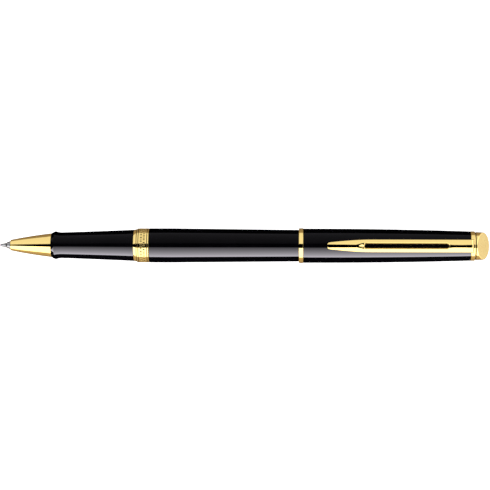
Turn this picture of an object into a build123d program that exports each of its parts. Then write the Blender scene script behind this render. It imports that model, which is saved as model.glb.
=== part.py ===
from build123d import *
import math
import os

# Rollerball pen with its cap posted, in millimetres. The pen lies along X with its ball at -X
# and its clip on top (+Z). Pieces are drawn with X counted from the front of the ball and Y, Z
# from the pen's axis. The model's origin is on the ground under the middle of the pen.

# Refill: a standard rollerball cartridge, which everything else is built round
REFILL_LENGTH = 110.5
REFILL_DIAMETER = 6.0
REFILL_WALL = 0.4
REFILL_NECK_LENGTH = 28.0
REFILL_NECK_DIAMETER = 4.8
REFILL_NECK_WALL = 0.7
REFILL_FLANGE_LENGTH = 1.3
REFILL_PLUG_LENGTH = 4.5
REFILL_END_LENGTH = 2.5
REFILL_END_BEVEL = 0.1
BALL_DIAMETER = 0.6
BALL_PROJECTION = 0.2
SOCKET_WALL = 0.06
TIP_STEM_END = 1.85
TIP_STEM_DIAMETER = 1.3
TIP_SHOULDER_END = 2.3
TIP_SHOULDER_DIAMETER = 1.9
TIP_COLLAR_START = 3.0
TIP_COLLAR_DIAMETER = 2.36
TIP_COLLAR_END = 6.5
TIP_SHANK_LENGTH = 3.0
TIP_SHANK_DIAMETER = 1.7
INK_CHANNEL_DIAMETER = 0.4
HOLDER_FRONT_DIAMETER = 2.9
HOLDER_CONE_START = 13.0
HOLDER_CONE_END = 16.5
FEED_STEM_DIAMETER = 0.9
FEED_CORE_DIAMETER = 1.8
FEED_FIN_PITCH = 1.25
FEED_FIN_THICKNESS = 0.6

# Writing section: gold nose, black grip, brass core, gold trim
NOSE_START = 3.3
NOSE_LENGTH = 12.7
NOSE_MOUTH_WALL = 0.37
NOSE_MOUTH_ROUND = 0.3
NOSE_CROWN = 0.15
NOSE_SHOULDER = 0.5
NOSE_SHANK_WALL = 0.6
NOSE_SHANK_LENGTH = 5.0
GRIP_LENGTH = 25.4
GRIP_LIP_OFFSET = 1.25
GRIP_LIP_HALF_WIDTH = 0.25
GRIP_LIP_CROWN = 0.05
GRIP_LIP_HEIGHT = 0.33
GRIP_WAIST_OFFSET = 3.1
GRIP_WAIST_WALL = 0.76
GRIP_WAIST_HOLLOW = 0.06
GRIP_REAR_WALL = 1.16
CORE_INSET = 2.0
CORE_SLEEVE_WALL = 0.4
CORE_COLLAR_HEIGHT = 0.8
TRIM_RING_LENGTH = 0.8
TRIM_RING_EDGE = 0.25
TRIM_GROOVE_LENGTH = 0.15
BAND_LENGTH = 3.75
BAND_INSET = 0.01
BAND_BEVEL = 0.12
BAND_LINE_MARGIN = 0.45
BAND_LINE_WIDTH = 0.16
BAND_LINE_DEPTH = 0.06

# Thread between section and barrel: single start, right hand
THREAD_PITCH = 1.0
THREAD_DEPTH = 0.45
THREAD_CREST_WIDTH = 0.24
THREAD_ROOT_WIDTH = 0.72
THREAD_ROOT_WALL = 0.55
THREAD_CLEARANCE = 0.1
THREAD_RELIEF = 0.9
THREAD_LENGTH = 6.5
THREAD_RUNOUT = 1.1

# Barrel
INSERT_RECESS = 0.4
INSERT_WALL = 0.3
INSERT_REAR_LIP = 1.0
BARREL_WALL = 0.6
BARREL_EDGE = 0.08
BARREL_LAND_LENGTH = 6.8
BARREL_TAPER = 0.4
BARREL_BORE_STEP = 0.5
BARREL_BORE_CONE = 3.0
TAIL_BORE_CLEARANCE = 0.75
TAIL_WALL = 0.5
TAIL_FLOOR = 3.8
TAIL_CAP_LENGTH = 1.4
TAIL_ROUND = 1.1
SPRING_SEAT_DEPTH = 2.2
SPRING_SEAT_WALL = 0.8
SPRING_SEAT_CLEARANCE = 0.18
SPRING_LENGTH = 6.7
SPRING_WIRE = 0.4
SPRING_COILS = 5

# Cap
POST_DEPTH = 29.2
POST_CLEARANCE = 0.03
POST_GRIP_LENGTH = 8.0
CAP_MOUTH_CLEARANCE = 0.15
CAP_MOUTH_STEP = 0.025
CAP_WALL = 0.28
CAP_STRAIGHT_LENGTH = 4.2
CAP_TAPER = 0.755
LIP_RING_LENGTH = 1.3
LIP_RING_WALL = 0.37
LIP_RING_EDGE = 0.1
LIP_RING_SEAT_LENGTH = 0.8
LIP_SPIGOT_WALL = 0.13
INNER_CAP_DEPTH = 18.0
INNER_CAP_WAIST_DEPTH = 33.0
INNER_CAP_STEP = 0.55
INNER_CAP_FLOOR = 1.3
TIP_ROOM = 2.15
END_BUSH_LENGTH = 5.3
CLIP_RING_LENGTH = 1.4
CLIP_RING_RISE = 0.04
CLIP_RING_ROUND = 0.2
FINIAL_LENGTH = 4.7
FINIAL_STEP = 0.185
FINIAL_TAPER = 0.19
FINIAL_FRONT_EDGE = 0.15
FINIAL_SLANT = 27.0
FINIAL_ROUND = 0.3
SCREW_DIAMETER = 2.0
SCREW_CLEARANCE = 0.1
SCREW_HEAD_DIAMETER = 3.6
SCREW_HEAD_LENGTH = 0.8
SCREW_SLOT_WIDTH = 0.4
SCREW_SLOT_DEPTH = 0.4
SCREW_ENGAGEMENT = 1.4
WASHER_THICKNESS = 0.2
WASHER_WIDTH = 0.8
WASHER_SPLIT = 0.3

# Clip
CLIP_LENGTH = 44.3
CLIP_WIDTH = 4.1
CLIP_TIP_WIDTH = 2.5
CLIP_TIP_BULGE = 0.3
CLIP_TIP_DROP = 0.35
CLIP_TAPER_LENGTH = 10.5
CLIP_TAPER_BULGE = 0.12
CLIP_THICKNESS = 0.8
CLIP_ROOT_RISE = 2.6
CLIP_CROWN = 0.3
CLIP_BEND_RADIUS = 1.0
CLIP_FOOT_HEIGHT = 0.62
CLIP_FOOT_LENGTH = 1.4
CLIP_FOOT_GAP = 0.05
CLIP_SLOT_START = 11.2
CLIP_SLOT_LENGTH = 25.5
CLIP_SLOT_WIDTH = 1.15
CLIP_SLOT_BEVEL = 0.35
CLIP_TAB_SHOULDER = 0.15
CLIP_TAB_THICKNESS = 0.65
CLIP_TAB_DEPTH = 1.55
CLIP_TAB_CLEARANCE = 0.1

# Fits: pressed or glued faces, turning fits, axial play between pieces that turn
PRESS_GAP = 0.02
RUNNING_GAP = 0.05
REFILL_GAP = 0.2
NECK_GAP = 0.15
TIP_GAP = 0.07
END_PLAY = 0.02
FACE_GAP = 0.1
BALL_GAP = 0.02

# Sagitta of a quarter circle as a share of its radius
QUARTER_ROUND = 1 - math.sqrt(0.5)

# Radii from the refill outwards
ball_r = BALL_DIAMETER / 2
collar_r = TIP_COLLAR_DIAMETER / 2
neck_r = REFILL_NECK_DIAMETER / 2
neck_bore_r = neck_r - REFILL_NECK_WALL
refill_r = REFILL_DIAMETER / 2
refill_bore_r = refill_r - REFILL_WALL
nose_mouth_r = collar_r + TIP_GAP
nose_bore_r = neck_r + NECK_GAP
nose_shank_r = nose_bore_r + NOSE_SHANK_WALL
nose_rear_r = nose_shank_r + NOSE_SHOULDER
grip_waist_r = nose_shank_r + PRESS_GAP + GRIP_WAIST_WALL
grip_lip_r = grip_waist_r + GRIP_LIP_HEIGHT
core_bore_r = refill_r + REFILL_GAP
core_sleeve_r = core_bore_r + CORE_SLEEVE_WALL
core_collar_r = core_sleeve_r + CORE_COLLAR_HEIGHT
grip_rear_r = core_sleeve_r + PRESS_GAP + GRIP_REAR_WALL
thread_root_r = core_bore_r + THREAD_ROOT_WALL
thread_crest_r = thread_root_r + THREAD_DEPTH
insert_bore_r = thread_root_r + THREAD_CLEARANCE
insert_r = thread_crest_r + THREAD_CLEARANCE + INSERT_WALL
insert_seat_r = insert_r + PRESS_GAP
barrel_r = insert_seat_r + BARREL_WALL
barrel_lip_r = barrel_r - BARREL_TAPER
band_r = barrel_r - BAND_INSET
tail_bore_r = refill_r + TAIL_BORE_CLEARANCE
tail_r = tail_bore_r + TAIL_WALL
tail_shank_r = tail_bore_r - PRESS_GAP
spring_seat_r = tail_shank_r - SPRING_SEAT_WALL
cap_mouth_r = barrel_lip_r + CAP_MOUTH_CLEARANCE
trim_ring_r = cap_mouth_r - RUNNING_GAP
cap_bore_r = cap_mouth_r - CAP_MOUTH_STEP
cap_r = cap_bore_r + CAP_WALL
cap_end_r = cap_r - CAP_TAPER
lip_ring_r = cap_mouth_r + LIP_RING_WALL
spigot_r = cap_bore_r + LIP_SPIGOT_WALL
clip_ring_r = cap_end_r + CLIP_RING_RISE
finial_front_r = cap_end_r - FINIAL_STEP
finial_rear_r = finial_front_r - FINIAL_TAPER
screw_r = SCREW_DIAMETER / 2
screw_bore_r = screw_r + SCREW_CLEARANCE

# Stations along the pen, from the ball
grip_front = NOSE_START + NOSE_LENGTH
nose_shank_end = grip_front + NOSE_SHANK_LENGTH
grip_rear = grip_front + GRIP_LENGTH
refill_step = REFILL_NECK_LENGTH - END_PLAY
core_front = refill_step + CORE_INSET
trim_ring_rear = grip_rear + TRIM_RING_LENGTH
band_front = trim_ring_rear + TRIM_GROOVE_LENGTH
band_rear = band_front + BAND_LENGTH
thread_start = band_rear + THREAD_RELIEF
thread_end = thread_start + THREAD_LENGTH
barrel_front = band_rear + FACE_GAP
insert_front = barrel_front + INSERT_RECESS
insert_rear = thread_end + THREAD_RUNOUT + INSERT_REAR_LIP
land_end = barrel_front + BARREL_LAND_LENGTH
tip_shank_end = TIP_COLLAR_END + TIP_SHANK_LENGTH
refill_tube_front = REFILL_NECK_LENGTH + REFILL_FLANGE_LENGTH
refill_plug_end = refill_tube_front + REFILL_PLUG_LENGTH
refill_tube_rear = REFILL_LENGTH - REFILL_END_LENGTH
refill_end_front = refill_tube_rear - REFILL_END_LENGTH
spring_seat = REFILL_LENGTH + SPRING_LENGTH
tail_plug_front = spring_seat - SPRING_SEAT_DEPTH
body_length = spring_seat + TAIL_FLOOR
tail_cap_front = body_length - TAIL_CAP_LENGTH
cap_lip = body_length - POST_DEPTH
cap_tube_front = cap_lip + LIP_RING_LENGTH - LIP_RING_SEAT_LENGTH
lip_ring_rear = cap_lip + LIP_RING_LENGTH
cap_bow_start = cap_lip + CAP_STRAIGHT_LENGTH
inner_cap_front = cap_lip + INNER_CAP_DEPTH
inner_cap_waist = cap_lip + INNER_CAP_WAIST_DEPTH
screw_head_front = cap_lip + band_front + TIP_ROOM
screw_head_rear = screw_head_front + SCREW_HEAD_LENGTH
inner_cap_floor = screw_head_rear + WASHER_THICKNESS
inner_cap_rear = inner_cap_floor + INNER_CAP_FLOOR
cap_tube_end = inner_cap_rear + END_BUSH_LENGTH
finial_front = cap_tube_end + CLIP_RING_LENGTH
posted_length = finial_front + FINIAL_LENGTH
clip_tab_front = cap_tube_end + CLIP_TAB_CLEARANCE
clip_tab_rear = clip_tab_front + CLIP_TAB_THICKNESS
clip_tab_bottom = clip_ring_r - CLIP_TAB_DEPTH
clip_tip = clip_tab_rear - CLIP_LENGTH


def barrel_surface(x):
    """Outer radius of the barrel: a straight land, a straight taper, then a bow to the tail."""
    slope = BARREL_TAPER / (cap_lip - land_end)
    tail_drop = barrel_lip_r - slope * POST_DEPTH - tail_r
    radius = barrel_r - slope * max(0.0, x - land_end)
    return radius - tail_drop * (max(0.0, x - cap_lip) / POST_DEPTH) ** 2


def cap_surface(x):
    """Outer radius of the cap tube: straight behind the lip, then bowed down to the clip ring."""
    return cap_r - CAP_TAPER * (max(0.0, x - cap_bow_start) / (cap_tube_end - cap_bow_start)) ** 2


def outline(*corners):
    """Closed wire of (x, z) corners; a third number bulges the run that ends there to its left."""
    edges = []
    start = Vector(corners[-1][0], 0, corners[-1][1])
    for corner in corners:
        end = Vector(corner[0], 0, corner[1])
        bulge = corner[2] if len(corner) == 3 else 0.0
        run = end - start
        if abs(bulge) > 1e-6:
            middle = (start + end) * 0.5 + Vector(-run.Z, 0, run.X).normalized() * bulge
            edges.append(ThreePointArc(start, middle, end))
        else:
            edges.append(Line(start, end))
        start = end
    return Wire(edges)


def turned(*corners):
    """Solid turned about the pen's axis from its closed (x, radius) outline."""
    return revolve(Face(outline(*corners)), Axis.X, 360)


def along(surface, start, end, inset=0.0):
    """Corner at end of a run that follows a bowed surface from start, inset below it."""
    bulge = surface((start + end) / 2) - (surface(start) + surface(end)) / 2
    return end, surface(end) - inset, math.copysign(bulge, (start - end) * -bulge)


def block(x_range, width, z_range):
    """Box between two stations and two heights, centred on the pen's middle plane."""
    middle = Pos((x_range[0] + x_range[1]) / 2, 0, (z_range[0] + z_range[1]) / 2)
    return middle * Box(x_range[1] - x_range[0], width, z_range[1] - z_range[0])


def thread_ridge(root_r, start, end):
    """Helical ridge of the thread about the pen's axis, cut off square at start and end."""
    turns = math.ceil((end - start) / THREAD_PITCH) + 2
    lead_in = thread_start - THREAD_PITCH * math.ceil((thread_start - start) / THREAD_PITCH + 1)
    path = Helix(pitch=THREAD_PITCH, height=turns * THREAD_PITCH, radius=root_r)
    sink = PRESS_GAP * 4
    spread = (THREAD_ROOT_WIDTH - THREAD_CREST_WIDTH) / 2 / THREAD_DEPTH
    root = THREAD_ROOT_WIDTH / 2 + sink * spread
    crest = THREAD_CREST_WIDTH / 2
    corners = ((-sink, root), (THREAD_DEPTH, crest), (THREAD_DEPTH, -crest), (-sink, -root))
    section = Plane(origin=path @ 0, x_dir=(1, 0, 0), z_dir=path % 0) * Polygon(*corners, align=None)
    ridge = sweep(section, path=path, is_frenet=True)
    outer_r = root_r + THREAD_DEPTH + sink
    keep = turned((start, 0), (start, outer_r), (end, outer_r), (end, 0))
    return (Pos(lead_in, 0, 0) * Rotation(0, 90, 0) * ridge) & keep


def writing_ball():
    return Pos(ball_r, 0, 0) * Sphere(ball_r)


def refill_tip():
    socket_r = ball_r + BALL_GAP
    lip_r = math.sqrt(socket_r**2 - (ball_r - BALL_PROJECTION) ** 2) + SOCKET_WALL
    shank_r = TIP_SHANK_DIAMETER / 2
    channel_r = INK_CHANNEL_DIAMETER / 2
    body = turned(
        (BALL_PROJECTION, 0),
        (BALL_PROJECTION, lip_r),
        (TIP_STEM_END, TIP_STEM_DIAMETER / 2),
        (TIP_SHOULDER_END, TIP_SHOULDER_DIAMETER / 2),
        (TIP_COLLAR_START, collar_r),
        (TIP_COLLAR_END, collar_r),
        (TIP_COLLAR_END, shank_r),
        (tip_shank_end, shank_r),
        (tip_shank_end, 0),
    )
    channel = turned((ball_r, 0), (ball_r, channel_r), (tip_shank_end, channel_r), (tip_shank_end, 0))
    return body - Pos(ball_r, 0, 0) * Sphere(socket_r) - channel


def refill_tip_holder():
    front_r = HOLDER_FRONT_DIAMETER / 2
    stem_bore_r = FEED_STEM_DIAMETER / 2 + PRESS_GAP
    shank_bore_r = TIP_SHANK_DIAMETER / 2 + PRESS_GAP
    flange_r = refill_r - PRESS_GAP
    plug_r = refill_bore_r - PRESS_GAP
    bore_cone_start = HOLDER_CONE_END - neck_bore_r + stem_bore_r
    return turned(
        (TIP_COLLAR_END, shank_bore_r),
        (TIP_COLLAR_END, front_r),
        (HOLDER_CONE_START, front_r),
        (HOLDER_CONE_END, neck_r),
        (REFILL_NECK_LENGTH, neck_r),
        (REFILL_NECK_LENGTH, flange_r),
        (refill_tube_front, flange_r),
        (refill_tube_front, plug_r),
        (refill_plug_end, plug_r),
        (refill_plug_end, neck_bore_r),
        (HOLDER_CONE_END, neck_bore_r),
        (bore_cone_start, stem_bore_r),
        (tip_shank_end + FACE_GAP, stem_bore_r),
        (tip_shank_end + FACE_GAP, shank_bore_r),
    )


def refill_feed():
    stem_r = FEED_STEM_DIAMETER / 2
    core_r = FEED_CORE_DIAMETER / 2
    fin_r = neck_bore_r - PRESS_GAP
    first_fin = HOLDER_CONE_END + FACE_GAP
    fin_count = int((refill_plug_end - first_fin) / FEED_FIN_PITCH)
    corners = [(tip_shank_end, 0), (tip_shank_end, stem_r), (first_fin, stem_r)]
    for index in range(fin_count):
        fin_front = first_fin + index * FEED_FIN_PITCH
        fin_rear = fin_front + FEED_FIN_THICKNESS
        corners += [(fin_front, fin_r), (fin_rear, fin_r), (fin_rear, core_r)]
        corners += [(fin_front + FEED_FIN_PITCH, core_r)]
    corners += [(first_fin + fin_count * FEED_FIN_PITCH, 0)]
    return turned(*corners)


def refill_ink_core():
    radius = refill_bore_r - RUNNING_GAP
    return turned(
        (refill_plug_end, 0),
        (refill_plug_end, radius),
        (refill_end_front, radius),
        (refill_end_front, 0),
    )


def refill_tube():
    return turned(
        (refill_tube_front, refill_bore_r),
        (refill_tube_front, refill_r),
        (refill_tube_rear, refill_r),
        (refill_tube_rear, refill_bore_r),
    )


def refill_end_plug():
    plug_r = refill_bore_r - PRESS_GAP
    return turned(
        (refill_end_front, 0),
        (refill_end_front, plug_r),
        (refill_tube_rear, plug_r),
        (refill_tube_rear, refill_r),
        (REFILL_LENGTH - REFILL_END_BEVEL, refill_r),
        (REFILL_LENGTH, refill_r - REFILL_END_BEVEL),
        (REFILL_LENGTH, 0),
    )


def nose_cone():
    front_r = nose_mouth_r + NOSE_MOUTH_WALL
    holder_bore_r = HOLDER_FRONT_DIAMETER / 2 + NECK_GAP
    return turned(
        (NOSE_START, nose_mouth_r),
        (NOSE_START, front_r - NOSE_MOUTH_ROUND),
        (NOSE_START + NOSE_MOUTH_ROUND, front_r, QUARTER_ROUND * NOSE_MOUTH_ROUND),
        (grip_front, nose_rear_r, NOSE_CROWN),
        (grip_front, nose_shank_r),
        (nose_shank_end, nose_shank_r),
        (nose_shank_end, nose_bore_r),
        (HOLDER_CONE_END - NECK_GAP, nose_bore_r),
        (HOLDER_CONE_START - NECK_GAP, holder_bore_r),
        (TIP_COLLAR_END - NECK_GAP, holder_bore_r),
        (TIP_COLLAR_END - NECK_GAP, nose_mouth_r),
    )


def grip_section():
    pocket_r = nose_shank_r + PRESS_GAP
    pocket_end = nose_shank_end + FACE_GAP
    sleeve_r = core_sleeve_r + PRESS_GAP
    lip = grip_front + GRIP_LIP_OFFSET
    lip_edge_r = grip_lip_r - GRIP_LIP_CROWN
    return turned(
        (grip_front, pocket_r),
        (grip_front, nose_rear_r),
        (lip - GRIP_LIP_HALF_WIDTH, lip_edge_r),
        (lip + GRIP_LIP_HALF_WIDTH, lip_edge_r, GRIP_LIP_CROWN),
        (grip_front + GRIP_WAIST_OFFSET, grip_waist_r, -GRIP_WAIST_HOLLOW),
        (grip_rear, grip_rear_r),
        (grip_rear, sleeve_r),
        (core_front, sleeve_r),
        (core_front, core_bore_r),
        (refill_step, core_bore_r),
        (refill_step, nose_bore_r),
        (pocket_end, nose_bore_r),
        (pocket_end, pocket_r),
    )


def section_core():
    core = turned(
        (core_front, core_bore_r),
        (core_front, core_sleeve_r),
        (grip_rear, core_sleeve_r),
        (grip_rear, core_collar_r),
        (band_rear, core_collar_r),
        (band_rear, thread_root_r),
        (thread_end, thread_root_r),
        (thread_end, core_bore_r),
    )
    return core + thread_ridge(thread_root_r, thread_start, thread_end)


def trim_ring():
    seat_r = core_collar_r + PRESS_GAP
    return turned(
        (grip_rear, seat_r),
        (grip_rear, grip_rear_r),
        (trim_ring_rear - TRIM_RING_EDGE, trim_ring_r),
        (trim_ring_rear, trim_ring_r),
        (trim_ring_rear, seat_r),
    )


def center_band():
    seat_r = core_collar_r + PRESS_GAP
    line_floor_r = band_r - BAND_LINE_DEPTH
    line_starts = (band_front + BAND_LINE_MARGIN, band_rear - BAND_LINE_MARGIN - BAND_LINE_WIDTH)
    corners = [(band_front, seat_r), (band_front, band_r - BAND_BEVEL), (band_front + BAND_BEVEL, band_r)]
    for start in line_starts:
        end = start + BAND_LINE_WIDTH
        corners += [(start, band_r), (start, line_floor_r), (end, line_floor_r), (end, band_r)]
    corners += [(band_rear - BAND_BEVEL, band_r), (band_rear, band_r - BAND_BEVEL), (band_rear, seat_r)]
    return turned(*corners)


def barrel_insert():
    bush = turned(
        (insert_front, insert_bore_r),
        (insert_front, insert_r),
        (insert_rear, insert_r),
        (insert_rear, insert_bore_r),
    )
    return bush - thread_ridge(insert_bore_r, insert_front, insert_rear - INSERT_REAR_LIP)


def barrel_tube():
    wide_bore_r = insert_seat_r - BARREL_BORE_STEP
    return turned(
        (barrel_front, insert_seat_r),
        (barrel_front, barrel_r - BARREL_EDGE),
        (barrel_front + BARREL_EDGE, barrel_r),
        (land_end, barrel_r),
        (cap_lip, barrel_lip_r),
        along(barrel_surface, cap_lip, tail_cap_front),
        (tail_cap_front, tail_bore_r),
        (cap_lip, tail_bore_r),
        (cap_lip - BARREL_BORE_CONE, wide_bore_r),
        (insert_rear, wide_bore_r),
        (insert_rear, insert_seat_r),
    )


def tail_plug():
    rim_r = barrel_surface(tail_cap_front)
    return turned(
        (tail_plug_front, spring_seat_r),
        (tail_plug_front, tail_shank_r),
        (tail_cap_front, tail_shank_r),
        (tail_cap_front, rim_r),
        (body_length - TAIL_ROUND, barrel_surface(body_length - TAIL_ROUND)),
        (body_length, tail_r - TAIL_ROUND, QUARTER_ROUND * TAIL_ROUND),
        (body_length, 0),
        (spring_seat, 0),
        (spring_seat, spring_seat_r),
    )


def refill_spring():
    wire_r = SPRING_WIRE / 2
    coil_r = spring_seat_r - SPRING_SEAT_CLEARANCE - wire_r
    height = SPRING_LENGTH - SPRING_WIRE - END_PLAY
    path = Helix(pitch=height / SPRING_COILS, height=height, radius=coil_r)
    wire = sweep(Plane(origin=path @ 0, z_dir=path % 0) * Circle(wire_r), path=path, is_frenet=True)
    return Pos(REFILL_LENGTH + wire_r + END_PLAY / 2, 0, 0) * Rotation(0, 90, 0) * wire


def cap_lip_ring():
    seat_r = spigot_r + PRESS_GAP
    return turned(
        (cap_lip, cap_mouth_r),
        (cap_lip, lip_ring_r - LIP_RING_EDGE),
        (cap_lip + LIP_RING_EDGE, lip_ring_r),
        (lip_ring_rear - LIP_RING_EDGE, lip_ring_r),
        (lip_ring_rear, lip_ring_r - LIP_RING_EDGE),
        (lip_ring_rear, seat_r),
        (cap_tube_front, seat_r),
        (cap_tube_front, cap_mouth_r),
    )


def cap_tube():
    return turned(
        (cap_tube_front, cap_bore_r),
        (cap_tube_front, spigot_r),
        (lip_ring_rear, spigot_r),
        (lip_ring_rear, cap_r),
        (cap_bow_start, cap_r),
        along(cap_surface, cap_bow_start, cap_tube_end),
        (cap_tube_end, cap_end_r - CAP_WALL),
        along(cap_surface, cap_tube_end, cap_bow_start, CAP_WALL),
    )


def inner_cap():
    """Plastic liner: a bore that fits the barrel's tail, then a narrower room for the tip."""
    skin = CAP_WALL + PRESS_GAP
    grip_end = inner_cap_front + POST_GRIP_LENGTH
    grip_end_r = barrel_surface(grip_end) + POST_CLEARANCE
    room_r = grip_end_r - INNER_CAP_STEP
    return turned(
        (inner_cap_front, barrel_surface(inner_cap_front) + POST_CLEARANCE),
        (inner_cap_front, cap_surface(inner_cap_front) - skin),
        along(cap_surface, inner_cap_front, inner_cap_rear, skin),
        (inner_cap_rear, screw_bore_r),
        (inner_cap_floor, screw_bore_r),
        (inner_cap_floor, room_r),
        (inner_cap_waist, room_r),
        (inner_cap_waist, grip_end_r),
        (grip_end, grip_end_r),
    )


def cap_end_bush():
    skin = CAP_WALL + PRESS_GAP
    return turned(
        (inner_cap_rear, screw_bore_r),
        (inner_cap_rear, cap_surface(inner_cap_rear) - skin),
        along(cap_surface, inner_cap_rear, cap_tube_end, skin),
        (cap_tube_end, screw_bore_r),
    )


def clip_ring():
    """Ring with a notch in its front face for the clip's tab."""
    ring = turned(
        (cap_tube_end, screw_bore_r),
        (cap_tube_end, clip_ring_r - CLIP_RING_ROUND),
        (cap_tube_end + CLIP_RING_ROUND, clip_ring_r, QUARTER_ROUND * CLIP_RING_ROUND),
        (finial_front - CLIP_RING_ROUND, clip_ring_r),
        (finial_front, clip_ring_r - CLIP_RING_ROUND, QUARTER_ROUND * CLIP_RING_ROUND),
        (finial_front, screw_bore_r),
    )
    notch = block(
        (cap_tube_end, clip_tab_rear + CLIP_TAB_CLEARANCE),
        CLIP_WIDTH - 2 * (CLIP_TAB_SHOULDER - CLIP_TAB_CLEARANCE),
        (clip_tab_bottom - CLIP_TAB_CLEARANCE, clip_ring_r + 1),
    )
    return ring - notch


def finial():
    """End piece, cut across by a slanted flat face that looks up and back."""
    slant = math.radians(FINIAL_SLANT)
    round_loss = FINIAL_ROUND * ((1 + math.sin(slant)) / math.cos(slant) - 1)
    blank_end = posted_length + FINIAL_ROUND
    hole_r = screw_r + PRESS_GAP
    hole_end = finial_front + SCREW_ENGAGEMENT + FACE_GAP
    blank = turned(
        (finial_front, 0),
        (finial_front, finial_front_r - FINIAL_FRONT_EDGE),
        (finial_front + FINIAL_FRONT_EDGE, finial_front_r),
        (blank_end, finial_rear_r),
        (blank_end, 0),
    )
    face = Plane(
        origin=(posted_length + round_loss, 0, -finial_rear_r),
        z_dir=(math.cos(slant), 0, math.sin(slant)),
    )
    reach = 6 * finial_front_r
    waste = face * Box(reach, reach, reach, align=(Align.CENTER, Align.CENTER, Align.MIN))
    body = blank - waste
    slanted = body.faces().filter_by(GeomType.PLANE).sort_by(Axis.X)[-1]
    body = fillet(slanted.edges(), FINIAL_ROUND)
    return body - turned((finial_front, 0), (finial_front, hole_r), (hole_end, hole_r), (hole_end, 0))


def finial_screw():
    head_r = SCREW_HEAD_DIAMETER / 2
    shank_end = finial_front + SCREW_ENGAGEMENT
    screw = turned(
        (screw_head_front, 0),
        (screw_head_front, head_r),
        (screw_head_rear, head_r),
        (screw_head_rear, screw_r),
        (shank_end, screw_r),
        (shank_end, 0),
    )
    slot_x = (screw_head_front, screw_head_front + SCREW_SLOT_DEPTH)
    return screw - block(slot_x, SCREW_SLOT_WIDTH, (-head_r - 1, head_r + 1))


def lock_washer():
    outer_r = screw_bore_r + WASHER_WIDTH
    washer = turned(
        (screw_head_rear, screw_bore_r),
        (screw_head_rear, outer_r),
        (inner_cap_floor, outer_r),
        (inner_cap_floor, screw_bore_r),
    )
    return washer - block((screw_head_rear - 1, inner_cap_floor + 1), WASHER_SPLIT, (0, outer_r + 1))


def clip_side():
    """Side outline of the clip: tab, bend, crowned bar, tip and foot, as (x, z) corners."""
    root_z = cap_end_r + CLIP_ROOT_RISE
    foot_z = cap_surface(clip_tip) + CLIP_FOOT_GAP
    tip_z = foot_z + CLIP_FOOT_HEIGHT + CLIP_THICKNESS
    bend_x = clip_tab_rear - CLIP_BEND_RADIUS
    bend_bulge = QUARTER_ROUND * CLIP_BEND_RADIUS
    inner_bend = clip_tab_front - bend_x
    foot_end = clip_tip + CLIP_FOOT_LENGTH
    return outline(
        (clip_tab_front, clip_tab_bottom),
        (clip_tab_rear, clip_tab_bottom),
        (clip_tab_rear, root_z - CLIP_BEND_RADIUS),
        (bend_x, root_z, -bend_bulge),
        (clip_tip + CLIP_TIP_DROP, tip_z, -CLIP_CROWN),
        (clip_tip, tip_z - CLIP_TIP_DROP, -QUARTER_ROUND * CLIP_TIP_DROP),
        (clip_tip, foot_z),
        (foot_end, foot_z),
        (foot_end + CLIP_FOOT_HEIGHT, foot_z + CLIP_FOOT_HEIGHT),
        (bend_x, root_z - CLIP_THICKNESS, CLIP_CROWN),
        (clip_tab_front, root_z - CLIP_THICKNESS - inner_bend, QUARTER_ROUND * inner_bend),
    )


def clip_plan():
    """Plan outline of the clip: straight sides that draw in to a blunt tip, as (x, y) corners."""
    half_tip = CLIP_TIP_WIDTH / 2
    half_width = CLIP_WIDTH / 2
    half_tab = half_width - CLIP_TAB_SHOULDER
    taper_end = clip_tip + CLIP_TAPER_LENGTH
    tip_side = clip_tip + CLIP_TIP_BULGE
    shoulder = clip_tab_front - CLIP_TAB_CLEARANCE
    return outline(
        (tip_side, half_tip, CLIP_TIP_BULGE),
        (taper_end, half_width, CLIP_TAPER_BULGE),
        (shoulder, half_width),
        (shoulder, half_tab),
        (clip_tab_rear + 1, half_tab),
        (clip_tab_rear + 1, -half_tab),
        (shoulder, -half_tab),
        (shoulder, -half_width),
        (taper_end, -half_width),
        (tip_side, -half_tip, CLIP_TAPER_BULGE),
    )


def clip():
    side = extrude(Face(clip_side()), CLIP_WIDTH, dir=(0, 1, 0), both=True)
    plan = Face(clip_plan()).rotate(Axis.X, -90)
    height = cap_r + CLIP_ROOT_RISE + CLIP_THICKNESS
    bar = side & extrude(plan, height, dir=(0, 0, 1))
    slot_x = clip_tip + CLIP_SLOT_START + CLIP_SLOT_LENGTH / 2
    slot = Pos(slot_x, 0, cap_r) * extrude(SlotOverall(CLIP_SLOT_LENGTH, CLIP_SLOT_WIDTH), height)
    bar -= slot
    crown = bar.faces().filter_by(lambda face: face.normal_at().Z > 0.9).sort_by(SortBy.AREA)[-1]
    return chamfer(crown.inner_wires().edges(), CLIP_SLOT_BEVEL)


NODES = {
    "writing_ball": writing_ball,
    "refill_tip": refill_tip,
    "refill_tip_holder": refill_tip_holder,
    "refill_feed": refill_feed,
    "refill_ink_core": refill_ink_core,
    "refill_tube": refill_tube,
    "refill_end_plug": refill_end_plug,
    "nose_cone": nose_cone,
    "grip_section": grip_section,
    "section_core": section_core,
    "trim_ring": trim_ring,
    "center_band": center_band,
    "barrel_insert": barrel_insert,
    "barrel_tube": barrel_tube,
    "tail_plug": tail_plug,
    "refill_spring": refill_spring,
    "cap_lip_ring": cap_lip_ring,
    "cap_tube": cap_tube,
    "inner_cap": inner_cap,
    "cap_end_bush": cap_end_bush,
    "clip_ring": clip_ring,
    "finial": finial,
    "finial_screw": finial_screw,
    "lock_washer": lock_washer,
    "clip": clip,
}

os.makedirs("parts", exist_ok=True)
for name, make in NODES.items():
    piece = Pos(-posted_length / 2, 0, lip_ring_r) * make()
    export_step(piece, f"parts/{name}.step")
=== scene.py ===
"""Looks of a slim rollerball pen, its cap posted on the barrel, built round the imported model.

The pen lies along X with its ball at the low end, its clip up and its axis at one height. Sizes in
the classes are in millimetres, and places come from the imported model's nodes, in metres.
"""

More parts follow.
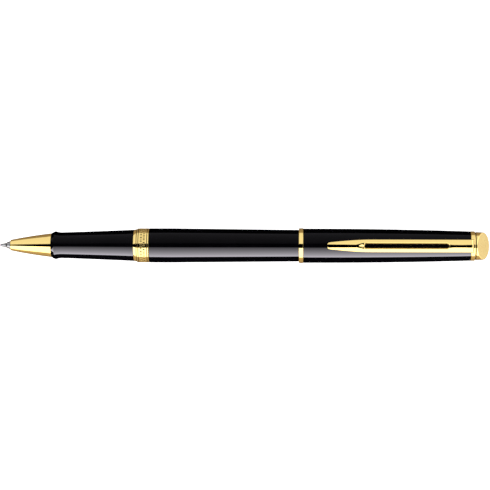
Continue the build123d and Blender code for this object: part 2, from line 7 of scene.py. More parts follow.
import logging
import math
from dataclasses import dataclass
from enum import Enum
from typing import Callable, ClassVar, Iterable, Sequence

import bmesh
import bpy
from mathutils import Matrix, Vector


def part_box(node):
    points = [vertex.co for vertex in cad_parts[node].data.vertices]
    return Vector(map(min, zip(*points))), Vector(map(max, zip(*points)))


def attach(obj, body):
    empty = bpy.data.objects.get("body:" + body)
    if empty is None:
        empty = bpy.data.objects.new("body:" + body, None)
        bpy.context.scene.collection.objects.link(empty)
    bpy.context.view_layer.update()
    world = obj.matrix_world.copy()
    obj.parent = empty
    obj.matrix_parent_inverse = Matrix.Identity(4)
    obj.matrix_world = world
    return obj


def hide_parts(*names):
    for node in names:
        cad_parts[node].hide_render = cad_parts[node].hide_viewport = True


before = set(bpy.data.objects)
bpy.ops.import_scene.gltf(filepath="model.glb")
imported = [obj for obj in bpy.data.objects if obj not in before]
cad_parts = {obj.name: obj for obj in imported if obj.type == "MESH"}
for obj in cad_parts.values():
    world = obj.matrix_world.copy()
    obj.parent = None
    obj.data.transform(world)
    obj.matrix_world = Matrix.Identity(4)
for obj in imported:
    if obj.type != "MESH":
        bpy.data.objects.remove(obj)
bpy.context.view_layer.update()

log = logging.getLogger("pen")

MM = 0.001
MERGE = 0.001 * MM
Point = tuple[float, float]
Outline = Sequence[tuple[float, ...]]
Color = tuple[float, float, float]


# ---------------------------------------------------------------- places on the pen's axis


@dataclass(frozen=True)
class Span:
    """Where a turned CAD node lies: its two ends along X and its outer radius, in millimetres."""

    start: float
    end: float
    radius: float

    @classmethod
    def of(cls, node: str) -> "Span":
        """Span of a CAD node.

        Args:
            node: Name of the node.

        Returns:
            The node's span, taken from its box at rest.
        """
        low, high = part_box(node)
        return cls(low.x / MM, high.x / MM, (high.y - low.y) / 2 / MM)


def axis_height() -> float:
    """Height of the pen's axis: the middle of the writing ball."""
    low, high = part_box("writing_ball")
    return (low.z + high.z) / 2


AXIS_Z = axis_height()


# ---------------------------------------------------------------- outlines of turned pieces


@dataclass(frozen=True)
class Corner:
    """A corner of a turned outline, in millimetres: its station, its radius, how much it is
    rounded, and the bow outwards of the straight run that ends there."""

    x: float
    r: float
    round: float = 0.0
    bow: float = 0.0


def bowed(start: Corner, end: Corner, steps: int = 10) -> list[Corner]:
    """Corners along a shallow arc between two corners.

    Args:
        start: Where the run starts.
        end: Where it ends; its bow is the height of the arc's middle over the straight run.
        steps: Number of pieces the arc is cut into.

    Returns:
        The arc's inner points, without its ends.
    """
    run = Vector((end.x - start.x, end.r - start.r))
    out = Vector((-run.y, run.x)).normalized()
    points = []
    for step in range(1, steps):
        share = step / steps
        place = Vector((start.x, start.r)) + run * share + out * (4 * end.bow * share * (1 - share))
        points.append(Corner(place.x, place.y))
    return points


def rounded(before: Corner, corner: Corner, after: Corner, steps: int = 5) -> list[Corner]:
    """A corner replaced by an arc that touches both runs.

    Args:
        before: The corner before it.
        corner: The corner to round.
        after: The corner after it.
        steps: Number of pieces in the arc.

    Returns:
        The points of the arc.
    """
    here = Vector((corner.x, corner.r))
    back = (Vector((before.x, before.r)) - here).normalized()
    on = (Vector((after.x, after.r)) - here).normalized()
    opening = back.angle(on)
    reach = corner.round / math.tan(opening / 2)
    middle = here + (back + on).normalized() * (corner.round / math.sin(opening / 2))
    first, last = here + back * reach - middle, here + on * reach - middle
    turn = first.angle_signed(last)
    points = []
    for step in range(steps + 1):
        angle = turn * step / steps
        cosine, sine = math.cos(angle), math.sin(angle)
        place = middle + Vector((first.x * cosine + first.y * sine, first.y * cosine - first.x * sine))
        points.append(Corner(place.x, place.y))
    return points


def traced(outline: Outline) -> list[Point]:
    """Outline with its bows and rounds worked out.

    Args:
        outline: What the corners are made of, in order.

    Returns:
        Points of the outline, (x, radius), closed by the caller where it is a loop.
    """
    dense: list[Corner] = []
    for corner in (Corner(*values) for values in outline):
        if corner.bow and dense:
            dense += bowed(dense[-1], corner)
        dense.append(corner)
    points: list[Point] = []
    for index, corner in enumerate(dense):
        if corner.round:
            after = dense[(index + 1) % len(dense)]
            points += [(c.x, c.r) for c in rounded(dense[index - 1], corner, after)]
        else:
            points.append((corner.x, corner.r))
    return points


def followed(surface: Callable[[float], float], start: float, end: float, inset: float = 0.0,
             steps: int = 14) -> list[Point]:
    """Corners along a surface given as a radius at each station.

    Args:
        surface: Radius at a station.
        start: First station.
        end: Last station.
        inset: How far the outline runs below the surface.
        steps: Number of pieces it is cut into.

    Returns:
        The corners, both ends among them.
    """
    stations = [start + (end - start) * step / steps for step in range(steps + 1)]
    return [(x, surface(x) - inset) for x in stations]


# ---------------------------------------------------------------- modelling on the bench


class Bench:
    """Modelling steps on one mesh, each made of Blender's own operators."""

    def __init__(self, name: str, place: Vector) -> None:
        """Starts a mesh as one selected vertex, in edit mode.

        Args:
            name: Name of the piece.
            place: Where the vertex lies.
        """
        bpy.ops.object.select_all(action="DESELECT")
        bpy.ops.mesh.primitive_circle_add(vertices=3, radius=MM, location=place)
        self.piece = bpy.context.object
        self.piece.name = name
        self.piece.data.name = name
        bpy.ops.object.transform_apply(location=True, rotation=True, scale=True)
        bpy.ops.object.mode_set(mode="EDIT")
        bpy.ops.mesh.select_mode(type="VERT")
        bpy.ops.mesh.select_all(action="SELECT")
        bpy.ops.mesh.merge(type="CENTER")

    def draw(self, steps: Iterable[Vector]) -> None:
        """Extrudes the selected vertex along a chain of moves."""
        for step in steps:
            bpy.ops.mesh.extrude_vertices_move(TRANSFORM_OT_translate={"value": step})

    def pick_all(self) -> None:
        """Selects the whole mesh."""
        bpy.ops.mesh.select_all(action="SELECT")

    def extrude(self, x: float = 0.0, y: float = 0.0, z: float = 0.0) -> None:
        """Extrudes what is selected by a move."""
        bpy.ops.mesh.extrude_region_move(TRANSFORM_OT_translate={"value": (x, y, z)})

    def sheet(self, along: Vector, y: float = 0.0, z: float = 0.0) -> None:
        """Draws a flat sheet: an edge along one way, extruded the other way."""
        self.draw([along])
        self.pick_all()
        self.extrude(0.0, y, z)

    def pick_vertices(self, wanted: Callable[[Vector], bool]) -> int:
        """Selects only the vertices whose place passes a test.

        Args:
            wanted: Test on a vertex's place.

        Returns:
            How many vertices are selected.
        """
        bpy.ops.mesh.select_mode(type="VERT")
        shape = bmesh.from_edit_mesh(self.piece.data)
        chosen = 0
        for vertex in shape.verts:
            vertex.select = bool(wanted(vertex.co))
            chosen += vertex.select
        shape.select_flush_mode()
        bmesh.update_edit_mesh(self.piece.data)
        return chosen

    def pick_faces(self, wanted: Callable[[Vector, Vector], bool]) -> int:
        """Selects only the faces whose middle and normal pass a test.

        Args:
            wanted: Test on a face's middle and its normal.

        Returns:
            How many faces are selected.
        """
        bpy.ops.mesh.select_mode(type="FACE")
        shape = bmesh.from_edit_mesh(self.piece.data)
        shape.normal_update()
        chosen = 0
        for face in shape.faces:
            face.select = bool(wanted(face.calc_center_median(), face.normal))
            chosen += face.select
        shape.select_flush_mode()
        bmesh.update_edit_mesh(self.piece.data)
        return chosen

    def close(self) -> None:
        """Merges doubles and turns every face outwards."""
        self.pick_all()
        bpy.ops.mesh.remove_doubles(threshold=MERGE)
        bpy.ops.mesh.normals_make_consistent(inside=False)

    def apply(self, kind: str, **settings: object) -> None:
        """Adds a modifier and applies it, from object mode.

        Args:
            kind: The modifier's type.
            **settings: Its properties.
        """
        self.to_objects()
        modifier = self.piece.modifiers.new(kind.lower(), kind)
        for name, value in settings.items():
            setattr(modifier, name, value)
        bpy.ops.object.modifier_apply(modifier=modifier.name)

    def break_edges(self, width: float, angle: float = 30.0, segments: int = 2, clamp: bool = True) -> None:
        """Rounds every edge sharper than an angle.

        Args:
            width: Width of the rounding, in millimetres.
            angle: Least angle between the two faces, in degrees.
            segments: Number of strips in the rounding.
            clamp: Whether the width is cut down to the shortest edge.
        """
        self.apply("BEVEL", width=width * MM, segments=segments, limit_method="ANGLE",
                   angle_limit=math.radians(angle), use_clamp_overlap=clamp)

    def to_objects(self) -> None:
        """Leaves edit mode."""
        if bpy.context.object.mode != "OBJECT":
            bpy.ops.object.mode_set(mode="OBJECT")

    def done(self, smooth: float = 30.0) -> bpy.types.Object:
        """Leaves edit mode and shades the piece.

        Args:
            smooth: Edges flatter than this angle, in degrees, are shaded smooth.

        Returns:
            The finished piece, its place in its mesh.
        """
        self.to_objects()
        bpy.ops.object.shade_smooth_by_angle(angle=math.radians(smooth))
        bpy.ops.object.select_all(action="DESELECT")
        log.info("%s: %d faces", self.piece.name, len(self.piece.data.polygons))
        return self.piece


def turned(name: str, outline: Outline, edge: float = 0.0, steps: int = 128, loop: bool = True) -> Bench:
    """Turns an outline about the pen's axis, as on a lathe.

    Args:
        name: Name of the piece.
        outline: Its corners in millimetres; a solid piece's starts and ends on the axis.
        edge: Width in millimetres that sharp edges are broken by, or 0 for none.
        steps: Number of faces round the axis.
        loop: Whether the outline closes on itself, as a ring's does.

    Returns:
        The bench, with the piece still on it.
    """
    points = traced(outline)
    if loop:
        points.append(points[0])
    places = [Vector((x * MM, 0.0, AXIS_Z + r * MM)) for x, r in points]
    bench = Bench(name, places[0])
    bench.draw(after - before for before, after in zip(places, places[1:]))
    bench.pick_all()
    bpy.ops.mesh.remove_doubles(threshold=MERGE)
    bpy.ops.mesh.spin(steps=steps, angle=math.tau, center=(0, 0, AXIS_Z), axis=(1, 0, 0))
    bench.close()
    if edge:
        bench.break_edges(edge)
    return bench


# ---------------------------------------------------------------- shader arithmetic


class Wire:
    """A shader socket that can be used in arithmetic; each operator adds a Math node."""

    def __init__(self, graph: "Graph", socket: bpy.types.NodeSocket) -> None:
        """Wraps an output socket of a graph."""
        self.graph = graph
        self.socket = socket

    def math(self, operation: str, *others: "Wire | float") -> "Wire":
        """Adds one Math node.

        Args:
            operation: The node's operation.
            *others: Its further inputs.

        Returns:
            The node's output.
        """
        inputs = dict(enumerate((self, *others)))
        return self.graph.add("ShaderNodeMath", {"operation": operation}, inputs)

    def __add__(self, other: "Wire | float") -> "Wire":
        """Sum."""
        return self.math("ADD", other)

    __radd__ = __add__

    def __mul__(self, other: "Wire | float") -> "Wire":
        """Product."""
        return self.math("MULTIPLY", other)

    __rmul__ = __mul__

    def __sub__(self, other: "Wire | float") -> "Wire":
        """Difference."""
        return self.math("SUBTRACT", other)

    def __rsub__(self, other: float) -> "Wire":
        """Difference from a number."""
        return self.math("MULTIPLY", -1.0) + other

    def __pow__(self, other: float) -> "Wire":
        """Power."""
        return self.math("POWER", other)

    def clamped(self, low: float, high: float) -> "Wire":
        """Share of the way from one value to another, kept between 0 and 1."""
        inputs = {"Value": self, "From Min": low, "From Max": high}
        return self.graph.add("ShaderNodeMapRange", {"clamp": True}, inputs)


class Graph:
    """Node graph of one material."""

    def __init__(self, name: str) -> None:
        """Starts a material with only its output node."""
        self.material = bpy.data.materials.new(name)
        self.material.use_nodes = True
        self.tree = self.material.node_tree
        self.tree.nodes.clear()
        self.output = self.tree.nodes.new("ShaderNodeOutputMaterial")

    def add(self, kind: str, settings: dict | None = None, inputs: dict | None = None,
            output: str | int = 0) -> Wire:
        """Adds any node.

        Args:
            kind: The node's type.
            settings: Its properties, set first.
            inputs: Values or wires of its sockets, by name or number.
            output: The socket that is returned.

        Returns:
            One output of the node.
        """
        node = self.tree.nodes.new(kind)
        for name, value in (settings or {}).items():
            setattr(node, name, value)
        for name, value in (inputs or {}).items():
            if isinstance(value, Wire):
                self.tree.links.new(value.socket, node.inputs[name])
            else:
                node.inputs[name].default_value = value
        return Wire(self, node.outputs[output])

    def blend(self, factor: Wire, first: Color | Wire, second: Color | Wire) -> Wire:
        """Mixes two colours; a Mix node's sockets share their names, so they go by number.

        Args:
            factor: Share of the second colour.
            first: Colour at 0.
            second: Colour at 1.

        Returns:
            The mixed colour.
        """
        colors = [value if isinstance(value, Wire) else (*value, 1.0) for value in (first, second)]
        inputs = {0: factor, 6: colors[0], 7: colors[1]}
        return self.add("ShaderNodeMix", {"data_type": "RGBA"}, inputs, output=2)

    def place(self) -> Wire:
        """Object coordinates of the surface, in metres."""
        return self.add("ShaderNodeTexCoord", output="Object")

    def split(self, vector: Wire) -> tuple[Wire, Wire, Wire]:
        """The three parts of a vector."""
        node = self.add("ShaderNodeSeparateXYZ", inputs={0: vector}).socket.node
        return tuple(Wire(self, part) for part in node.outputs)

    def join(self, x: Wire | float, y: Wire | float, z: Wire | float) -> Wire:
        """A vector from three numbers."""
        return self.add("ShaderNodeCombineXYZ", inputs={0: x, 1: y, 2: z})

    def noise(self, vector: Wire, scale: float, detail: float = 2.0, rough: float = 0.5) -> Wire:
        """Noise about 0.5 at a scale in features per metre."""
        inputs = {"Vector": vector, "Scale": scale, "Detail": detail, "Roughness": rough}
        return self.add("ShaderNodeTexNoise", {"noise_dimensions": "3D"}, inputs)

    def off_axis(self, vector: Wire) -> tuple[Wire, Wire, Wire]:
        """Turned coordinates of a point on the pen.

        Args:
            vector: The point.

        Returns:
            Its station along X, its distance from the axis, and its angle round the axis.
        """
        x, y, z = self.split(vector)
        height = z - AXIS_Z
        radius = (y * y + height * height) ** 0.5
        return x, radius, y.math("ARCTAN2", height)

    def surface(self, color: Wire | Color, rough: Wire | float, bump: Wire | None = None,
                depth: float = 0.0, strength: float = 1.0, **constants: object) -> bpy.types.Material:
        """Ends the graph in a Principled shader.

        Args:
            color: Base colour.
            rough: Roughness.
            bump: Height of the surface's small relief, or None.
            depth: Height in metres that a bump of 1 stands for.
            strength: Strength of the bump.
            **constants: Other sockets, named with underscores for spaces.

        Returns:
            The material.
        """
        inputs = {name.replace("_", " "): value for name, value in constants.items()}
        inputs["Base Color"] = color if isinstance(color, Wire) else (*color, 1.0)
        inputs["Roughness"] = rough
        if bump is not None:
            relief = {"Height": bump, "Distance": depth, "Strength": strength}
            inputs["Normal"] = self.add("ShaderNodeBump", inputs=relief)
        shader = self.add("ShaderNodeBsdfPrincipled", inputs=inputs)
        self.tree.links.new(shader.socket, self.output.inputs["Surface"])
        return self.material

    def glow(self, tint: Color, strength: Wire | float) -> bpy.types.Material:
        """Ends the graph in a glow that other panels can be seen through.

        Args:
            tint: Colour of the light.
            strength: How strong it is.

        Returns:
            The material.
        """
        emission = self.add("ShaderNodeEmission", inputs={"Color": (*tint, 1.0), "Strength": strength})
        clear = self.add("ShaderNodeBsdfTransparent")
        both = self.add("ShaderNodeAddShader", inputs={0: emission, 1: clear})
        self.tree.links.new(both.socket, self.output.inputs["Surface"])
        return self.material


# ---------------------------------------------------------------- finishes


class Light(Enum):
    """Which set of studio panels lights a piece; the other set is kept off it."""

    METAL = "metal_pieces"
    DARK = "dark_pieces"


@dataclass(frozen=True)
class Lacquer:
    """Polished black lacquer, or a black resin with the same gloss."""

    light: ClassVar[Light] = Light.DARK
    name: str
    color: Color = (0.0003, 0.0003, 0.0005)
    warm: Color = (0.0007, 0.0006, 0.0009)
    rough: float = 0.02
    haze: float = 0.03
    peel: float = 1.6
    peel_depth: float = 0.0006

    def make(self) -> bpy.types.Material:
        """Builds the material: depth of colour, polishing haze and a faint orange peel.

        Returns:
            The material.
        """
        graph = Graph(self.name)
        place = graph.place()
        x, radius, angle = graph.off_axis(place)
        depth = graph.noise(place, 160.0, 3.0)
        hairs = graph.noise(graph.join(x * 900.0, angle * 2.2, radius * 900.0), 9.0, 4.0, 0.7)
        smudge = graph.noise(place, 70.0, 4.0, 0.6)
        color = graph.blend(depth.clamped(0.35, 0.75), self.color, self.warm)
        rough = hairs.clamped(0.55, 0.95) * self.haze + smudge.clamped(0.5, 0.85) * 0.02 + self.rough
        bump = graph.noise(place, 1000.0 / self.peel, 1.0) + hairs * 0.15
        return graph.surface(color, rough, bump, self.peel_depth * MM, 0.5, IOR=1.5)


@dataclass(frozen=True)
class TurnedMetal:
    """Metal turned on a lathe, then polished or left bare: fine rings, smudges and painted shade in its
    recesses.
    """

    light: ClassVar[Light] = Light.METAL
    name: str
    color: Color
    deep: Color
    rough: float
    ring_pitch: float = 0.09
    ring_depth: float = 0.0004
    ring_rough: float = 0.03
    smudge_rough: float = 0.04
    tarnish: float = 0.12
    painted_shade_radius: float = 0.0

    def make(self) -> bpy.types.Material:
        """Builds the material from rings about the axis, smudges, tarnish and painted shade below a radius,
        in engraving and notches.

        Returns:
            The material.
        """
        graph = Graph(self.name)
        place = graph.place()
        x, radius, angle = graph.off_axis(place)
        lines = graph.join(x * (1 / self.ring_pitch), radius * (1 / self.ring_pitch), angle * 0.0004)
        rings = graph.noise(lines, 1.0 / MM, 3.0, 0.6)
        smudge = graph.noise(place, 120.0, 4.0, 0.6)
        stain = graph.noise(place, 45.0, 5.0, 0.65)
        color = graph.blend(stain.clamped(0.45, 0.9) * self.tarnish, self.color, self.deep)
        rough = (rings.clamped(0.4, 0.8) * self.ring_rough + smudge.clamped(0.45, 0.8) * self.smudge_rough
                 + self.rough)
        if self.painted_shade_radius:
            # Painted shade: below this radius the gold is darkened towards brown, standing in for the shade
            # inside the engraving and the clip's notch.
            painted_recess_shade = (radius * -1.0).clamped(-self.painted_shade_radius - 0.01 * MM, -self.painted_shade_radius + 0.01 * MM)
            color = graph.blend(painted_recess_shade, color, (0.030, 0.020, 0.010))
            rough = rough + painted_recess_shade * 0.45
        return graph.surface(color, rough, rings, self.ring_depth * MM, 0.6, Metallic=1.0)


@dataclass(frozen=True)
class FacedMetal:
    """Polished metal with one flat brushed face, cut on the slant."""

    light: ClassVar[Light] = Light.METAL
    name: str
    color: Color
    deep: Color
    face_point: Vector
    face_normal: Vector
    shadow_end: float
    polished: float = 0.04
    brushed: float = 0.24
    grain: float = 0.035
    depth: float = 0.0012

    def make(self) -> bpy.types.Material:
        """Builds the material: strokes on the face, faint rings beside it and a painted shadow on its front
        strip, by the groove.

        Returns:
            The material.
        """
        graph = Graph(self.name)
        place = graph.place()
        x, y, z = graph.split(place)
        normal, point = self.face_normal, self.face_point
        beyond = x * normal.x + z * normal.z - normal.dot(point)
        face = beyond.clamped(-0.06 * MM, -0.02 * MM)
        strokes = graph.noise(graph.join(x, y * 0.03, z), 1.0 / (self.grain * MM), 3.0, 0.7)
        rings = graph.noise(graph.join(x, 0.0, 0.0), 11000.0, 3.0, 0.6)
        tone = graph.noise(place, 350.0, 3.0)
        # Painted shadow: the end piece's front strip is darkened towards brown, standing in for the shade in
        # the groove beside the clip ring.
        shadow = (x * -1.0).clamped(-self.shadow_end - 0.05 * MM, -self.shadow_end + 0.05 * MM)
        color = graph.blend(tone.clamped(0.35, 0.8) * 0.3, self.color, self.deep)
        color = graph.blend(shadow * 0.8, color, (0.16, 0.07, 0.015))
        shine = strokes.clamped(0.3, 0.75) * 0.12 + (self.brushed - self.polished)
        rough = face * shine + rings.clamped(0.4, 0.8) * 0.03 + self.polished + shadow * 0.3
        return graph.surface(color, rough, strokes * face, self.depth * MM, 0.6, Metallic=1.0)


@dataclass(frozen=True)
class BrushedMetal:
    """Flat metal brushed in one direction, across the pen."""

    light: ClassVar[Light] = Light.METAL
    name: str
    color: Color
    deep: Color
    rough: float = 0.26
    grain: float = 0.035
    depth: float = 0.0012

    def make(self) -> bpy.types.Material:
        """Builds the material from long fine strokes and a slow change of tone.

        Returns:
            The material.
        """
        graph = Graph(self.name)
        place = graph.place()
        x, y, z = graph.split(place)
        strokes = graph.noise(graph.join(x, y * 0.03, z), 1.0 / (self.grain * MM), 3.0, 0.7)
        tone = graph.noise(place, 350.0, 3.0)
        color = graph.blend(tone.clamped(0.35, 0.8) * 0.3, self.color, self.deep)
        rough = strokes.clamped(0.3, 0.75) * 0.12 + self.rough
        return graph.surface(color, rough, strokes, self.depth * MM, 0.6, Metallic=1.0)


@dataclass(frozen=True)
class Moulded:
    """Moulded plastic: a satin skin with a fine spark-eroded grain and faint flow marks."""

    light: ClassVar[Light] = Light.DARK
    name: str
    color: Color
    pale: Color
    rough: float = 0.42
    grain: float = 0.12
    depth: float = 0.004

    def make(self) -> bpy.types.Material:
        """Builds the material from a fine grain and slow flow marks along the pen.

        Returns:
            The material.
        """
        graph = Graph(self.name)
        place = graph.place()
        x, y, z = graph.split(place)
        grain = graph.noise(place, 1.0 / (self.grain * MM), 3.0, 0.6)
        flow = graph.noise(graph.join(x * 0.15, y, z), 700.0, 4.0, 0.6)
        color = graph.blend(flow.clamped(0.4, 0.85) * 0.6, self.color, self.pale)
        rough = grain.clamped(0.3, 0.8) * 0.14 + flow.clamped(0.4, 0.9) * 0.08 + self.rough
        return graph.surface(color, rough, grain, self.depth * MM, 0.7, IOR=1.49)


@dataclass(frozen=True)
class Fibre:
    """Bundled fibres that run along the pen, soaked with ink."""

    light: ClassVar[Light] = Light.DARK
    name: str
    color: Color
    pale: Color
    strand: float = 0.05

    def make(self) -> bpy.types.Material:
        """Builds the material from long strands that differ in tone.

        Returns:
            The material.
        """
        graph = Graph(self.name)
        place = graph.place()
        x, y, z = graph.split(place)
        strands = graph.noise(graph.join(x * 0.04, y, z), 1.0 / (self.strand * MM), 3.0, 0.6)
        color = graph.blend(strands.clamped(0.35, 0.75), self.color, self.pale)
        rough = strands * 0.2 + 0.6
        return graph.surface(color, rough, strands, 0.02 * MM, 0.8, IOR=1.4)


# ---------------------------------------------------------------- dressing and riding


@dataclass(frozen=True)
class Dress:
    """A finish with its material slot."""

    slot: str
    finish: Lacquer | TurnedMetal | FacedMetal | BrushedMetal | Moulded | Fibre


COOL: Color = (1.0, 0.955, 1.04)
WARM: Color = (1.0, 0.80, 0.60)
GOLD: Color = (0.97, 0.74, 0.28)
GOLD_DEEP: Color = (0.80, 0.50, 0.15)
BRASS: Color = (0.80, 0.60, 0.30)
STEEL: Color = (0.34, 0.34, 0.35)


class Wardrobe:
    """Every finish of the pen, made once, and the steps that put it on a piece."""

    def __init__(self) -> None:
        """Makes the finishes, with the depths in millimetres below the gold's top where its recesses get
        painted shade, and the width of the painted shadow on the end piece's front.
        """
        face_point, face_normal = Cap().slant_plane()
        engraving, notch, shadow_width = 0.035, 0.13, 0.2
        band_floor = (Span.of("center_band").radius - engraving) * MM
        notch_floor = (Span.of("clip_ring").radius - notch) * MM
        shadow_end = (Span.of("finial").start + shadow_width) * MM
        gold = (GOLD, GOLD_DEEP)
        self.dresses = {
            "lacquer": Dress("black_lacquer", Lacquer("black_lacquer")),
            "resin": Dress("black_resin", Lacquer("black_resin", peel=2.4)),
            "plug": Dress("black_plug", Lacquer("black_plug", rough=0.06, peel=1.1)),
            "gold": Dress("gold_plate", TurnedMetal("gold_plate", *gold, 0.03)),
            "engraved": Dress("gold_plate", TurnedMetal("engraved_gold", *gold, 0.03,
                                                        painted_shade_radius=band_floor)),
            "ring": Dress("gold_plate", TurnedMetal("ring_gold", *gold, 0.03, painted_shade_radius=notch_floor)),
            "satin": Dress("satin_gold", FacedMetal("satin_gold", *gold, face_point, face_normal, shadow_end)),
            "brass": Dress("bare_brass", TurnedMetal("bare_brass", BRASS, (0.45, 0.30, 0.12), 0.20,
                                                     ring_pitch=0.16, ring_depth=0.002, tarnish=0.45)),
            "steel": Dress("tip_steel", TurnedMetal("polished_steel", STEEL, (0.20, 0.20, 0.21), 0.14,
                                                    tarnish=0.3)),
            "wire": Dress("steel_wire", BrushedMetal("drawn_wire", STEEL, (0.30, 0.30, 0.31), 0.2)),
            "ball": Dress("ball_carbide", TurnedMetal("carbide_ball", (0.42, 0.42, 0.45), (0.16, 0.16, 0.19),
                                                      0.10, ring_pitch=0.02, tarnish=0.8)),
            "liner": Dress("black_liner", Moulded("black_liner", (0.018, 0.018, 0.019),
                                                  (0.035, 0.035, 0.037))),
            "holder": Dress("refill_plastic", Moulded("refill_plastic", (0.055, 0.055, 0.062),
                                                      (0.09, 0.09, 0.10), 0.3)),
            "feed": Dress("feed_plastic", Moulded("feed_plastic", (0.72, 0.73, 0.70),
                                                  (0.80, 0.80, 0.77), 0.5)),
            "ink": Dress("ink_fibre", Fibre("ink_fibre", (0.010, 0.010, 0.030), (0.035, 0.035, 0.075))),
        }
        self.materials = {name: dress.finish.make() for name, dress in self.dresses.items()}
        self.lit = {light: bpy.data.collections.new(light.value) for light in Light}

    def put_on(self, piece: bpy.types.Object, name: str) -> None:
        """Gives a piece its material and puts it in its light's collection."""
        piece.data.materials.clear()
        piece.data.materials.append(self.materials[name])
        self.lit[self.dresses[name].finish.light].objects.link(piece)

    def new(self, piece: bpy.types.Object, name: str, body: str, node: str) -> None:
        """Finishes a new piece.

        Args:
            piece: The piece, in place.
            name: Name of its dress.
            body: The CAD body that it rides on.
            node: The CAD node that it stands for.
        """
        self.put_on(piece, name)
        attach(piece, body)
        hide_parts(node)
        log.info("%s rides on %s in %s", piece.name, body, name)

    def keep(self, **dresses: str) -> None:
        """Dresses CAD nodes whose shapes stay.

        Args:
            **dresses: Name of the dress of each node.
        """
        for node, name in dresses.items():
            self.put_on(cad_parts[node], name)
            log.info("%s stays, in %s", node, name)


# ---------------------------------------------------------------- the refill


@dataclass
class Refill:
    """The cartridge: its turned steel point is modelled here, and the rest keeps its shape."""

    lip: float = 0.364
    stem_end: float = 1.85
    stem: float = 0.65
    shoulder_end: float = 2.3
    shoulder: float = 0.95
    collar_start: float = 3.0
    collar_end: float = 6.5
    collar: float = 1.18
    shank: float = 0.85
    crimp: float = 0.05
    ball_play: float = 0.02
    neck_end: float = 0.55
    lip_end: float = 0.22

    def point(self) -> bpy.types.Object:
        """Turns the writing point, with the rolled lip that holds the ball.

        Returns:
            The point.
        """
        span = Span.of("refill_tip")
        ball = Span.of("writing_ball")
        front = ball.start
        middle = front + ball.radius
        seat = ball.radius + self.ball_play
        mouth_angle = math.acos((middle - span.start) / seat)
        angles = [mouth_angle * (1 + 0.3 * step) for step in range(3)]
        outline = [
            (span.end, 0.0),
            (span.end, self.shank),
            (front + self.collar_end, self.shank),
            (front + self.collar_end, self.collar, 0.05),
            (front + self.collar_start, self.collar, 0.3),
            (front + self.shoulder_end, self.shoulder, 0.1),
            (front + self.stem_end, self.stem, 0.1),
            (front + self.neck_end, self.lip + 0.1, 0.3),
            (front + self.lip_end, self.lip, self.crimp),
            *((middle - seat * math.cos(angle), seat * math.sin(angle)) for angle in angles),
            (middle + seat, 0.0),
        ]
        return turned("rollerball_point", outline, steps=96, loop=False).done()

    def build(self, wardrobe: Wardrobe) -> None:
        """Builds the point and dresses the cartridge."""
        wardrobe.new(self.point(), "steel", "refill", "refill_tip")
        wardrobe.keep(writing_ball="ball", refill_tip_holder="holder", refill_end_plug="holder",
                      refill_feed="feed", refill_ink_core="ink", refill_tube="steel")


# ---------------------------------------------------------------- the grip section


